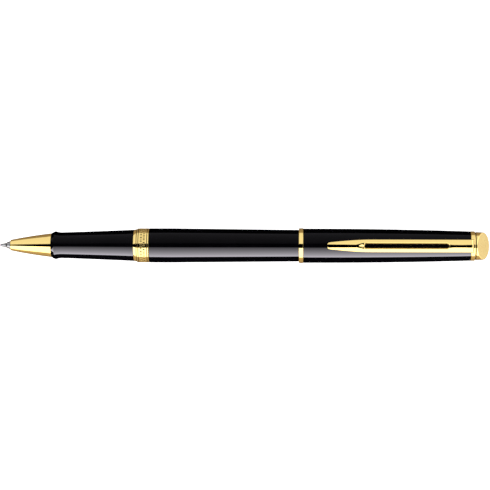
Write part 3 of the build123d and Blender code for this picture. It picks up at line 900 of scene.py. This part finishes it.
@dataclass
class Section:
    """The part that is held: gold nose, black grip, trim ring and engraved centre band."""

    mouth: float = 1.25
    mouth_wall: float = 0.37
    mouth_round: float = 0.3
    nose_crown: float = 0.15
    nose_rear: float = 3.65
    shank: float = 3.15
    nose_bore: float = 2.55
    holder_bore: float = 1.6
    bore_step: float = 3.05
    cone_start: float = 9.55
    cone_end: float = 13.05
    grip_lip: float = 4.23
    lip_place: float = 1.25
    lip_half: float = 0.25
    waist: float = 3.93
    waist_place: float = 3.1
    waist_hollow: float = 0.06
    flare_hollow: float = 0.04
    grip_rear: float = 4.78
    sleeve: float = 3.62
    core_bore: float = 3.2
    ring_edge: float = 0.25
    band_bevel: float = 0.12
    line_margin: float = 0.45
    line_width: float = 0.20
    line_depth: float = 0.09
    mark_gap: float = 0.16
    mark_length: float = 0.72
    mark_depth: float = 0.07
    fit: float = 0.02
    collar: float = 4.42
    throat_length: float = 2.0

    def nose(self) -> bpy.types.Object:
        """Turns the gold nose, a slim ogive with an open mouth.

        Returns:
            The nose.
        """
        span = Span.of("nose_cone")
        grip = Span.of("grip_section").start
        front = span.start
        outline = [
            (front, self.mouth, 0.05),
            (front, self.mouth + self.mouth_wall, self.mouth_round),
            (grip, self.nose_rear, 0.0, self.nose_crown),
            (grip, self.shank),
            (span.end, self.shank),
            (span.end, self.nose_bore),
            (front + self.cone_end, self.nose_bore),
            (front + self.cone_start, self.holder_bore),
            (front + self.bore_step, self.holder_bore),
            (front + self.bore_step, self.mouth),
        ]
        return turned("gold_nose", outline, 0.02).done()

    def grip(self) -> bpy.types.Object:
        """Turns the black grip: a small lip, a waist, then a flare towards the barrel.

        Returns:
            The grip.
        """
        span = Span.of("grip_section")
        shank_end = Span.of("nose_cone").end + 0.1
        core = Span.of("section_core").start
        front = span.start
        lip = front + self.lip_place
        outline = [
            (front, self.shank + self.fit),
            (front, self.nose_rear, 0.05),
            (lip - self.lip_half, self.grip_lip, 0.2),
            (lip + self.lip_half, self.grip_lip, 0.2),
            (front + self.waist_place, self.waist, 0.0, -self.waist_hollow),
            (span.end, self.grip_rear, 0.0, -self.flare_hollow),
            (span.end, self.sleeve),
            (core, self.sleeve),
            (core, self.core_bore),
            (core - self.throat_length, self.core_bore),
            (core - self.throat_length, self.nose_bore),
            (shank_end, self.nose_bore),
            (shank_end, self.shank + self.fit),
        ]
        return turned("black_grip", outline, 0.02).done()

    def ring(self) -> bpy.types.Object:
        """Turns the slim trim ring behind the grip.

        Returns:
            The ring.
        """
        span = Span.of("trim_ring")
        outline = [
            (span.start, self.collar),
            (span.start, self.grip_rear),
            (span.end - self.ring_edge, span.radius, 0.1),
            (span.end, span.radius, 0.06),
            (span.end, self.collar),
        ]
        return turned("gold_trim_ring", outline, 0.02).done()

    def band(self, steps: int = 150) -> bpy.types.Object:
        """Turns the centre band, then cuts two rows of plain dashes between its border lines.

        Args:
            steps: Number of faces round the band.

        Returns:
            The engraved band.
        """
        span = Span.of("center_band")
        top, floor = span.radius, span.radius - self.line_depth
        first = span.start + self.line_margin
        last = span.end - self.line_margin - self.line_width
        middle = (span.start + span.end) / 2
        rows = (middle - self.mark_gap / 2 - self.mark_length, middle + self.mark_gap / 2)
        lines = [[(line, top), (line, floor), (line + self.line_width, floor), (line + self.line_width, top)]
                 for line in (first, last)]
        outline = [
            (span.start, self.collar),
            (span.start, top - self.band_bevel),
            (span.start + self.band_bevel, top, 0.08),
            *lines[0],
            *((x, top) for row in rows for x in (row, row + self.mark_length)),
            *lines[1],
            (span.end - self.band_bevel, top, 0.08),
            (span.end, top - self.band_bevel),
            (span.end, self.collar),
        ]
        bench = turned("gold_centre_band", outline, steps=steps)

        def dashed(place: Vector, normal: Vector) -> bool:
            """Whether a face of the two rows belongs to a dash, three cells in five."""
            y, z = place.y / MM, (place.z - AXIS_Z) / MM
            if math.hypot(y, z) < top - 0.02:
                return False
            cell = int(math.atan2(y, z) / math.tau * steps + steps)
            inside = [row < place.x / MM < row + self.mark_length for row in rows]
            return any(inside) and (cell + 2 * inside.index(True)) % 5 in (0, 1, 3)

        bench.pick_faces(dashed)
        bpy.ops.mesh.inset(thickness=0.05 * MM, depth=0.0)
        bpy.ops.mesh.inset(thickness=0.03 * MM, depth=-self.mark_depth * MM)
        bench.break_edges(0.015, 35.0, 1)
        return bench.done()

    def build(self, wardrobe: Wardrobe) -> None:
        """Builds and dresses the section."""
        wardrobe.new(self.nose(), "gold", "section", "nose_cone")
        wardrobe.new(self.grip(), "resin", "section", "grip_section")
        wardrobe.new(self.ring(), "gold", "section", "trim_ring")
        wardrobe.new(self.band(), "engraved", "section", "center_band")
        wardrobe.keep(section_core="brass")


# ---------------------------------------------------------------- the barrel


@dataclass
class Barrel:
    """The lacquered tube with its threaded insert, tail cap and spring."""

    land: float = 6.8
    edge: float = 0.08
    taper: float = 0.4
    tail_bore: float = 3.75
    wide_bore: float = 4.12
    bore_cone: float = 3.0
    tail_round: float = 1.1
    tail_radius: float = 4.25
    seat_gap: float = 0.02
    spring_seat: float = 2.93
    seat_depth: float = 3.8

    def surface(self, x: float) -> float:
        """Outer radius at a station: a straight land, a straight taper, then a bow to the tail.

        Args:
            x: The station, in millimetres.

        Returns:
            The radius there, in millimetres.
        """
        span = Span.of("barrel_tube")
        lip = Span.of("cap_lip_ring").start
        tail = Span.of("tail_plug").end
        land_end = span.start + self.land
        slope = self.taper / (lip - land_end)
        radius = span.radius - slope * max(0.0, x - land_end)
        drop = span.radius - self.taper - slope * (tail - lip) - self.tail_radius
        return radius - drop * (max(0.0, x - lip) / (tail - lip)) ** 2

    def tube(self) -> bpy.types.Object:
        """Turns the tube with its two bores.

        Returns:
            The tube.
        """
        span = Span.of("barrel_tube")
        insert = Span.of("barrel_insert")
        lip = Span.of("cap_lip_ring").start
        outline = [
            (span.start, insert.radius + self.seat_gap),
            (span.start, span.radius, self.edge),
            (span.start + self.land, span.radius),
            *followed(self.surface, lip, span.end),
            (span.end, self.tail_bore),
            (lip, self.tail_bore),
            (lip - self.bore_cone, self.wide_bore),
            (insert.end, self.wide_bore),
            (insert.end, insert.radius + self.seat_gap),
        ]
        return turned("lacquered_barrel", outline, steps=160).done(20.0)

    def tail(self) -> bpy.types.Object:
        """Turns the tail cap, a round-edged plug pressed into the tube.

        Returns:
            The tail cap.
        """
        span = Span.of("tail_plug")
        tube_end = Span.of("barrel_tube").end
        shank = self.tail_bore - self.seat_gap
        outline = [
            (span.end - self.seat_depth, 0.0),
            (span.end - self.seat_depth, self.spring_seat),
            (span.start, self.spring_seat),
            (span.start, shank),
            (tube_end, shank),
            (tube_end, self.surface(tube_end)),
            (span.end, self.tail_radius, self.tail_round),
            (span.end, 0.0),
        ]
        return turned("tail_cap", outline, 0.02, loop=False).done()

    def build(self, wardrobe: Wardrobe) -> None:
        """Builds and dresses the barrel."""
        wardrobe.new(self.tube(), "lacquer", "barrel", "barrel_tube")
        wardrobe.new(self.tail(), "plug", "barrel", "tail_plug")
        wardrobe.keep(barrel_insert="brass", refill_spring="wire")


# ---------------------------------------------------------------- the cap


@dataclass
class Cap:
    """The lacquered cap with its gold lip ring, clip ring and slant-cut end piece."""

    wall: float = 0.28
    straight: float = 4.2
    taper: float = 0.755
    spigot: float = 5.075
    lip_edge: float = 0.1
    ring_round: float = 0.26
    notch_back: float = 0.85
    notch_half: float = 2.0
    notch_floor: float = 2.86
    ring_bore: float = 1.1
    end_taper: float = 0.19
    end_edge: float = 0.28
    slant: float = 27.0
    slant_round: float = 0.3
    mouth: float = 4.97
    fit: float = 0.02
    reach: float = 0.92

    def surface(self, x: float) -> float:
        """Outer radius at a station: straight behind the lip, then bowed down to the ring.

        Args:
            x: The station, in millimetres.

        Returns:
            The radius there, in millimetres.
        """
        span = Span.of("cap_tube")
        bow_start = Span.of("cap_lip_ring").start + self.straight
        share = max(0.0, x - bow_start) / (span.end - bow_start)
        return span.radius - self.taper * share ** 2

    def tube(self) -> bpy.types.Object:
        """Turns the thin cap tube, with the spigot that the lip ring sits on.

        Returns:
            The tube.
        """
        span = Span.of("cap_tube")
        lip = Span.of("cap_lip_ring")
        bow_start = lip.start + self.straight
        outline = [
            (span.start, span.radius - self.wall),
            (span.start, self.spigot),
            (lip.end, self.spigot),
            (lip.end, span.radius, 0.03),
            *followed(self.surface, bow_start, span.end, steps=20),
            *followed(self.surface, span.end, bow_start, self.wall, 20),
        ]
        return turned("lacquered_cap", outline, steps=160).done(20.0)

    def lip(self) -> bpy.types.Object:
        """Turns the ring at the cap's mouth.

        Returns:
            The ring.
        """
        span = Span.of("cap_lip_ring")
        tube_start = Span.of("cap_tube").start
        outline = [
            (span.start, self.mouth, 0.03),
            (span.start, span.radius, self.lip_edge),
            (span.end, span.radius, self.lip_edge),
            (span.end, self.spigot + self.fit),
            (tube_start, self.spigot + self.fit),
            (tube_start, self.mouth),
        ]
        return turned("gold_lip_ring", outline, steps=160).done()

    def ring(self) -> bpy.types.Object:
        """Turns the clip ring, then cuts the notch for the clip's tab into its front face.

        Returns:
            The notched ring.
        """
        span = Span.of("clip_ring")
        outline = [
            (span.start, self.ring_bore),
            (span.start, span.radius, self.ring_round),
            (span.end, span.radius, self.ring_round),
            (span.end, self.ring_bore),
        ]
        bench = turned("gold_clip_ring", outline, steps=160)
        ring = bench.done()
        cutter = self.notch_cutter(span)
        bpy.context.view_layer.objects.active = ring
        bench.apply("BOOLEAN", object=cutter, operation="DIFFERENCE", solver="EXACT")
        bpy.data.objects.remove(cutter)
        return ring

    def notch_cutter(self, span: Span) -> bpy.types.Object:
        """Block with the notch's shape, extruded up from its floor.

        Args:
            span: The clip ring's span.

        Returns:
            The block.
        """
        low = Vector(((span.start - 1) * MM, -self.notch_half * MM, AXIS_Z + self.notch_floor * MM))
        bench = Bench("notch_cutter", low)
        bench.sheet(Vector(((self.notch_back + 1) * MM, 0, 0)), y=2 * self.notch_half * MM)
        bench.pick_all()
        bench.extrude(z=3 * MM)
        bench.close()
        bench.to_objects()
        return bench.piece

    def slant_plane(self) -> tuple[Vector, Vector]:
        """Plane of the slanted end face.

        Returns:
            A point of the plane and its outward normal.
        """
        span = Span.of("finial")
        slant = math.radians(self.slant)
        loss = self.slant_round * (self.reach - math.tan((math.pi / 2 - slant) / 2))
        low = AXIS_Z + (self.end_taper - span.radius) * MM
        return Vector(((span.end + loss) * MM, 0, low)), Vector((math.cos(slant), 0, math.sin(slant)))

    def end_piece(self) -> bpy.types.Object:
        """Turns the end piece, cuts it on the slant and rounds the rim of the cut.

        Returns:
            The end piece.
        """
        span = Span.of("finial")
        blank = span.end + 2 * self.slant_round
        point, normal = self.slant_plane()
        outline = [
            (span.start, 0.0),
            (span.start, span.radius - self.end_edge),
            (span.start + self.end_edge, span.radius),
            (blank, span.radius - self.end_taper),
            (blank, 0.0),
        ]
        bench = turned("slant_end_piece", outline, loop=False)
        bench.pick_all()
        bpy.ops.mesh.bisect(plane_co=point, plane_no=normal, use_fill=True, clear_outer=True)
        bench.close()
        bench.pick_faces(lambda place, out: out.dot(normal) > 0.999)
        bpy.ops.mesh.region_to_loop()
        bpy.ops.mesh.bevel(offset=self.slant_round * MM, segments=6, affect="EDGES")
        bench.pick_faces(lambda place, out: out.dot(normal) > 0.9999)
        bpy.ops.mesh.inset(thickness=0.12 * MM, depth=0.0)
        return bench.done(24.0)

    def build(self, wardrobe: Wardrobe) -> None:
        """Builds and dresses the cap."""
        wardrobe.new(self.tube(), "lacquer", "cap", "cap_tube")
        wardrobe.new(self.lip(), "gold", "cap", "cap_lip_ring")
        wardrobe.new(self.ring(), "ring", "cap", "clip_ring")
        wardrobe.new(self.end_piece(), "satin", "cap", "finial")
        wardrobe.keep(inner_cap="liner", cap_end_bush="brass", finial_screw="wire", lock_washer="wire")


# ---------------------------------------------------------------- the clip


@dataclass(frozen=True)
class Rib:
    """One cross line of the clip's top: a point of its middle line, the outward direction there,
    and the half widths of bar, groove and slot with the groove's depth and the dome's height."""

    x: float
    z: float
    out: tuple[float, float]
    width: float
    groove: float
    slot: float
    depth: float
    dome: float

    def points(self) -> list[Vector]:
        """Places of the cross line's vertices, from the middle to the edge."""
        lines = [(0.0, self.depth), (self.slot, self.depth), (self.groove, 0.0)]
        lines += [(self.groove + (self.width - self.groove) * share, 0.0) for share in (0.4, 0.75, 1.0)]
        places = []
        for y, sunk in lines:
            drop = self.dome * (y / self.width) ** 2 + sunk
            places.append(Vector((self.x - self.out[0] * drop, y, self.z - self.out[1] * drop)))
        return places


def round_end(distance: float, half: float) -> float:
    """Half the width of a slot with a half-round end.

    Args:
        distance: How far from the slot's end.
        half: Half the slot's full width.

    Returns:
        Half its width there, or 0 outside it.
    """
    inside = min(max(distance, 0.0), half)
    return math.sqrt(max(0.0, half ** 2 - (half - inside) ** 2))


@dataclass
class Clip:
    """The pocket clip: a domed bar with a bevelled slot, drawn in to a blunt tip with a foot."""

    thickness: float = 0.65
    slim: float = 0.92
    tip_half: float = 0.95
    tip_round: float = 0.9
    tip_drop: float = 0.35
    tip_lower: float = 0.38
    taper: float = 13.0
    crown: float = 0.3
    dome: float = 0.45
    bend: float = 1.0
    slot_start: float = 11.2
    slot_length: float = 25.5
    slot_half: float = 0.66
    bevel: float = 0.27
    groove_depth: float = 0.34
    run_out: float = 1.8
    foot_length: float = 1.4
    foot_gap: float = 0.05
    tab_half: float = 1.9
    edge: float = 0.012

    def half_width(self, run: float, full: float) -> float:
        """Half the bar's width at a distance behind the tip.

        Args:
            run: Distance behind the tip.
            full: Half the bar's full width.

        Returns:
            Half the width there, in millimetres.
        """
        share = max(0.0, 1 - run / self.taper)
        width = full - (full - self.tip_half) * share ** 1.6
        if run < self.tip_round:
            back = 1 - run / self.tip_round
            width *= math.sqrt(max(0.0, 1 - 0.75 * back ** 2))
        return width

    def slot_shape(self, run: float, width: float) -> tuple[float, float, float]:
        """Half widths of groove and slot, and the groove's depth, at a distance behind the tip.

        Args:
            run: Distance behind the tip.
            width: Half the bar's width there.

        Returns:
            Half the groove's width, half the slot's width and the depth, in millimetres.
        """
        outer = self.slot_half + self.bevel
        slot_end = self.slot_start + self.slot_length
        vee = self.slot_start - self.run_out
        idle = min(0.2 * width, 0.05 + 0.06 * abs(run - vee), 0.05 + 0.06 * abs(run - slot_end - self.bevel))
        if run <= vee or run >= slot_end + self.bevel:
            return idle, idle / 2, 0.0
        front = run - self.slot_start
        rear = slot_end - run
        if front < 0:
            share = (run - vee) / self.run_out
            groove = max(idle, outer * share * 0.75)
            return groove, max(0.02, groove * 0.1), self.groove_depth * share
        slot = max(0.02, min(round_end(front, self.slot_half), round_end(rear, self.slot_half)))
        groove_front = outer * (0.75 + 0.25 * min(1.0, front / 0.8))
        groove = max(slot + 0.03, min(groove_front, round_end(rear + self.bevel, outer)))
        depth = self.groove_depth * min(1.0, (rear + self.bevel) / self.bevel)
        return groove, slot, depth

    def ribs(self) -> list[Rib]:
        """Cross lines of the top from the tip to the tab's foot, over the bend.

        Returns:
            The ribs, in order.
        """
        low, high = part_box("clip")
        full = high.y / MM * self.slim
        tip, back = low.x / MM, high.x / MM
        bend_x = back - self.bend
        length = bend_x - tip
        slot_end = self.slot_start + self.slot_length
        root_z = high.z / MM - self.crown * 0.55
        runs = [0.0, 0.04, 0.12, 0.25, 0.42, 0.65, 0.9, 1.4, 2.2, 3.4, 5.0, 6.8, 8.4]
        runs += [self.slot_start - self.run_out * share for share in (1.0, 0.66, 0.33)]
        rounds = [self.slot_half * share for share in (0.0, 0.07, 0.21, 0.43, 0.73, 1.0)]
        runs += [self.slot_start + r for r in rounds]
        runs += [self.slot_start + 0.8 + 2.0 * step for step in range(12)]
        runs += [slot_end - r for r in reversed(rounds)]
        runs += [slot_end + self.bevel * share for share in (0.35, 0.7, 1.0)]
        runs += [slot_end + 1.2, slot_end + 2.4, slot_end + 4.0, length - 1.0, length]
        ribs = []
        for run in runs:
            share = run / length
            height = root_z - self.tip_lower * (1 - share) + 4 * self.crown * share * (1 - share)
            if run < self.tip_drop:
                back_share = 1 - run / self.tip_drop
                height -= self.tip_drop * (1 - math.sqrt(max(0.0, 1 - back_share ** 2)))
            width = self.half_width(run, full)
            groove, slot, depth = self.slot_shape(run, width)
            ribs.append(Rib((tip + run) * MM, height * MM, (0.0, 1.0), width * MM, groove * MM,
                            slot * MM, depth * MM, self.dome * (width / full) ** 2 * MM))
        for step in range(1, 9):
            angle = math.pi / 2 * step / 8
            out = (math.sin(angle), math.cos(angle))
            width = full + (self.tab_half - full) * step / 8
            x = bend_x + self.bend * out[0]
            z = root_z - self.bend + self.bend * out[1]
            ribs.append(Rib(x * MM, z * MM, out, width * MM, 0.3 * width * MM, 0.15 * width * MM, 0.0,
                            self.dome * (1 - 0.85 * step / 8) * MM))
        for z in (root_z - self.bend - 0.6, low.z / MM):
            ribs.append(Rib(back * MM, z * MM, (1.0, 0.0), self.tab_half * MM,
                            0.3 * self.tab_half * MM, 0.15 * self.tab_half * MM, 0.0, 0.05 * MM))
        return ribs

    def top(self) -> Bench:
        """Draws one half of the top, rib by rib, and opens the slot.

        Returns:
            The bench with the half shell on it.
        """
        ribs = self.ribs()
        points = ribs[0].points()
        bench = Bench("gold_clip", points[0])
        bench.draw(after - before for before, after in zip(points, points[1:]))
        bench.pick_all()
        for rib in ribs[1:]:
            targets = rib.points()
            step = targets[0] - points[0]
            bench.extrude(*step)
            for start, target in zip(points, targets):
                moved = start + step
                if (target - moved).length > 1e-7:
                    bench.pick_vertices(lambda place: (place - moved).length < 2e-6)
                    bpy.ops.transform.translate(value=target - moved)
            bench.pick_vertices(lambda place: min((place - target).length for target in targets) < 1e-6)
            points = targets
        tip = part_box("clip")[0].x
        first = tip + self.slot_start * MM
        last = first + self.slot_length * MM
        narrow = [rib for rib in ribs if first - 1e-6 <= rib.x <= last + 1e-6]

        def in_slot(place: Vector, normal: Vector) -> bool:
            """Whether a face of the top lies over the slot."""
            if not first < place.x < last:
                return False
            widest = max(rib.slot for rib in narrow if abs(rib.x - place.x) < 1.2 * MM)
            return place.y < widest * 0.5 + 0.005 * MM

        bench.pick_faces(in_slot)
        bpy.ops.mesh.delete(type="FACE")
        return bench

    def build_piece(self) -> bpy.types.Object:
        """Builds the clip: both halves, its thickness, its foot and its broken edges.

        Returns:
            The clip.
        """
        bench = self.top()
        bench.pick_all()
        bpy.ops.mesh.remove_doubles(threshold=MERGE)
        bench.apply("MIRROR", use_axis=(False, True, False), merge_threshold=MERGE * 5)
        bpy.ops.object.mode_set(mode="EDIT")
        bench.close()
        up = bench.pick_faces(lambda place, normal: normal.z > 0.5)
        if up < len(bench.piece.data.polygons) / 2:
            bench.pick_all()
            bpy.ops.mesh.flip_normals()
        bench.apply("SOLIDIFY", thickness=self.thickness * MM, offset=-1.0, use_even_offset=True)
        bpy.ops.object.mode_set(mode="EDIT")
        self.foot(bench)
        bench.close()
        bench.break_edges(self.edge, 40.0, clamp=False)
        return bench.done(40.0)

    def foot(self, bench: Bench) -> None:
        """Draws the foot down from the underside of the tip to just over the cap.

        Args:
            bench: The bench with the clip on it.
        """
        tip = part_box("clip")[0].x
        bottom = AXIS_Z + (Span.of("cap_tube").radius + self.foot_gap) * MM
        reach = tip + self.foot_length * MM
        bench.pick_faces(lambda place, normal: place.x < reach and normal.z < -0.6)
        bench.extrude(z=-0.2 * MM)
        bpy.ops.transform.resize(value=(1, 1, 0), center_override=(tip, 0, bottom))
        bpy.ops.transform.resize(value=(0.86, 0.8, 1), center_override=(tip + 0.3 * MM, 0, bottom))

    def build(self, wardrobe: Wardrobe) -> None:
        """Builds and dresses the clip."""
        wardrobe.new(self.build_piece(), "gold", "clip", "clip")


# ---------------------------------------------------------------- the studio


def hang(panel: bpy.types.Object, glow: bpy.types.Material, lit: bpy.types.Collection) -> None:
    """Makes a sheet a light panel that is seen only in what it lights.

    Args:
        panel: The sheet.
        glow: Its material.
        lit: The pieces that it lights.
    """
    panel.data.materials.append(glow)
    panel.visible_camera = False
    panel.visible_shadow = False
    panel.light_linking.receiver_collection = lit


@dataclass(frozen=True)
class Panel:
    """A curved light panel along the pen: its angles from straight up, towards +Y where they are
    positive, its light at both edges, and the pieces that it lights."""

    name: str
    start: float
    end: float
    near: float
    far: float
    light: Light
    tint: Color = (1.0, 1.0, 1.0)
    radius: float = 0.34
    half_length: float = 0.75
    power: float = 1.0

    def build(self, wardrobe: Wardrobe) -> None:
        """Builds the panel as a curved sheet that glows more towards one edge.

        Args:
            wardrobe: Holds the pieces that it lights.
        """
        first = math.radians(self.start)
        sweep = math.radians(self.end - self.start)
        place = Vector((-self.half_length, self.radius * math.sin(first),
                        AXIS_Z + self.radius * math.cos(first)))
        bench = Bench(self.name, place)
        bench.draw([Vector((2 * self.half_length, 0, 0))])
        bench.pick_all()
        bpy.ops.mesh.spin(steps=24, angle=sweep, center=(0, 0, AXIS_Z), axis=(1, 0, 0))
        bench.pick_all()
        bpy.ops.mesh.remove_doubles(threshold=MERGE)
        hang(bench.done(), self.glow(), wardrobe.lit[self.light])

    def glow(self) -> bpy.types.Material:
        """Material of the panel.

        Returns:
            The material.
        """
        graph = Graph(self.name)
        angle = graph.off_axis(graph.place())[2]
        first, last = math.radians(self.start), math.radians(self.end)
        low, high = min(first, last), max(first, last)
        share = angle.clamped(low, high)
        if first > last:
            share = 1.0 - share
        strength = share ** self.power * (self.far - self.near) + self.near
        return graph.glow(self.tint, strength)


@dataclass
class Studio:
    """Floor, panels, surroundings and camera."""

    floor_half: float = 3.0
    camera_x: float = 0.022
    camera_height: float = 0.61
    lens: float = 146.7
    aim_x: float = 0.0003
    aim_y: float = 0.00018
    roll: float = 0.12
    end_place: float = 0.5
    end_half: float = 0.45
    end_light: float = 0.95

    def floor(self) -> None:
        """Lays the plain white floor under the pen."""
        low = min(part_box(node)[0].z for node in ("cap_lip_ring", "barrel_tube"))
        half = self.floor_half
        bench = Bench("floor", Vector((-half, -half, low - 0.02 * MM)))
        bench.sheet(Vector((2 * half, 0, 0)), y=2 * half)
        floor = bench.done()
        graph = Graph("white_floor")
        material = graph.surface((0.9, 0.9, 0.9), 0.9, Emission_Color=(1, 1, 1, 1), Emission_Strength=1.0,
                                 Specular_IOR_Level=0.0)
        floor.data.materials.append(material)
        floor.visible_glossy = False

    def panels(self, wardrobe: Wardrobe) -> None:
        """Hangs the panels round the pen, with a dark gap straight above it, and one past its end.

        Args:
            wardrobe: Holds the pieces that they light.
        """
        for panel in (
            Panel("metal_upper", 12.5, 94.0, 1.02, 0.95, Light.METAL),
            Panel("metal_lower", -16.0, -84.0, 2.45, 2.4, Light.METAL),
            Panel("metal_fill_upper", 94.0, 178.0, 0.36, 0.20, Light.METAL, WARM),
            Panel("metal_fill_lower", -84.0, -178.0, 0.64, 0.26, Light.METAL, WARM),
            Panel("dark_upper", 14.0, 95.0, 0.07, 0.26, Light.DARK, COOL),
            Panel("dark_lower", -13.0, -85.0, 1.25, 10.6, Light.DARK, COOL, power=1.1),
        ):
            panel.build(wardrobe)
        half = self.end_half
        bench = Bench("metal_end", Vector((self.end_place, -half, -half)))
        bench.sheet(Vector((0, 2 * half, 0)), z=2 * half)
        glow = Graph("metal_end").glow((1.0, 1.0, 1.0), self.end_light)
        hang(bench.done(), glow, wardrobe.lit[Light.METAL])

    def surroundings(self) -> None:
        """Sets a white background that only the camera and matt surfaces see."""
        world = bpy.data.worlds.new("studio")
        bpy.context.scene.world = world
        world.use_nodes = True
        background = world.node_tree.nodes["Background"]
        background.inputs["Color"].default_value = (1, 1, 1, 1)
        background.inputs["Strength"].default_value = 1.0
        world.cycles_visibility.glossy = False
        bpy.context.scene.view_settings.view_transform = "Standard"

    def camera(self) -> None:
        """Sets the camera above the pen, looking straight down on the clip."""
        data = bpy.data.cameras.new("camera")
        data.lens = self.lens
        data.sensor_width = 36.0
        camera = bpy.data.objects.new("camera", data)
        bpy.context.scene.collection.objects.link(camera)
        camera.location = (self.camera_x, 0.0, AXIS_Z + self.camera_height)
        back = (camera.location - Vector((self.aim_x, self.aim_y, AXIS_Z))).normalized()
        right = Vector((0, 1, 0)).cross(back).normalized()
        axes = Matrix((right, back.cross(right), back)).transposed()
        camera.rotation_euler = axes.to_euler()
        camera.rotation_euler.rotate_axis("Z", math.radians(self.roll))
        data.clip_end = 20.0
        bpy.context.scene.camera = camera

    def build(self, wardrobe: Wardrobe) -> None:
        """Sets up the whole studio."""
        self.floor()
        self.panels(wardrobe)
        self.surroundings()
        self.camera()


def main() -> None:
    """Builds the pen and the studio round it."""
    logging.basicConfig(level=logging.INFO, format="%(name)s %(message)s")
    wardrobe = Wardrobe()
    for assembly in (Refill(), Section(), Barrel(), Cap(), Clip()):
        assembly.build(wardrobe)
    Studio().build(wardrobe)


if __name__ == "__main__":
    main()
